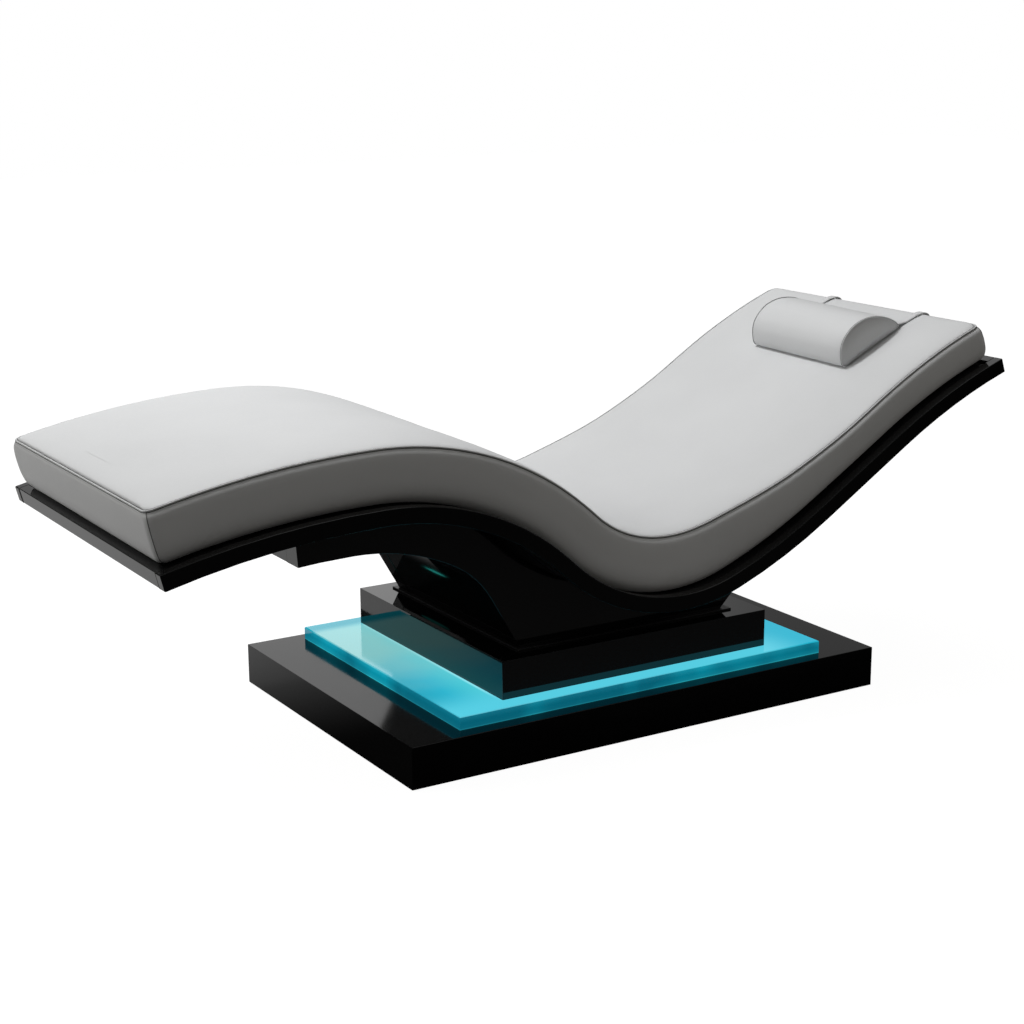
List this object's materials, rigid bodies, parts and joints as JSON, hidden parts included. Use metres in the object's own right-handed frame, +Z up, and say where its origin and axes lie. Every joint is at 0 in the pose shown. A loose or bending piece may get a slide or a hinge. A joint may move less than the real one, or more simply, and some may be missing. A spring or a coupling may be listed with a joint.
{
  "type": "spa relaxation lounger",
  "caption": "Wave-shaped spa lounger with a pale piped cushion and a half-round neck pillow, on a black glossy pedestal and a stepped plinth with a lit teal slab.",
  "frame": {"origin": "on the floor under the middle of the plinth, at the middle glide's lower face", "axes": "+X from the feet to the head, +Y across to the side away from the picture, +Z up"},
  "size_m": [2.0566, 0.8, 0.8115],
  "materials": {
    "gloss_black": "black high-gloss lacquer",
    "teal_acrylic": "teal acrylic, lit from inside",
    "leather_white": "smooth pale grey-white upholstery leather",
    "ply": "birch plywood",
    "steel": "zinc-plated steel",
    "black_steel": "black powder-coated steel",
    "aluminium": "anodised aluminium profile",
    "black_plastic": "black plastic",
    "black_paint": "plywood in satin black paint",
    "felt": "dark felt and hook tape",
    "led": "LED tape with a clear cover"
  },
  "bodies": {
    "lounger": {"base_casing": "gloss_black", "base_floor_panel": "ply", "floor_glides": "felt", "base_beams": "steel", "light_plate": "teal_acrylic", "led_channel": "aluminium", "led_strip": "led", "spacer_board": "ply", "led_driver": "black_plastic", "led_controller": "black_plastic", "power_inlet": "black_plastic", "leads": "black_plastic", "upper_plinth": "gloss_black", "core_ribs": "ply", "tie_rods": "steel", "tie_nuts": "steel", "flange_plate": "black_steel", "side_panel_near": "gloss_black", "side_panel_far": "gloss_black", "foot_skin": "gloss_black", "head_skin": "gloss_black", "foot_cap": "gloss_black", "head_cap": "gloss_black", "pedestal_floor": "ply", "foot_bulkhead": "ply", "head_bulkhead": "ply", "deck_cleats": "ply", "tray_deck": "black_paint", "side_rail_near": "gloss_black", "side_rail_far": "gloss_black", "foot_rail": "gloss_black", "head_rail": "gloss_black", "deck_battens": "black_paint", "hook_strips": "felt", "cushion": "leather_white"},
    "pillow": {"neck_pillow": "leather_white", "strap_near": "leather_white", "strap_far": "leather_white"},
    "weight": {"counterweight": "leather_white", "weight_bar": "steel"}
  },
  "joints": [
    {"name": "pillow_slide", "type": "slide", "parent": "lounger", "child": "pillow", "axis": [0.8967, 0, 0.4427], "range_m": [-0.06, 0.04], "deforming": ["strap_near", "strap_far"]},
    {"name": "weight_slide", "type": "slide", "parent": "lounger", "child": "weight", "axis": [0, 0, 1], "range_m": [-0.04, 0.06]}
  ],
  "couplings": [
    {"joint": "weight_slide", "follows": "pillow_slide", "ratio": -1}
  ]
}
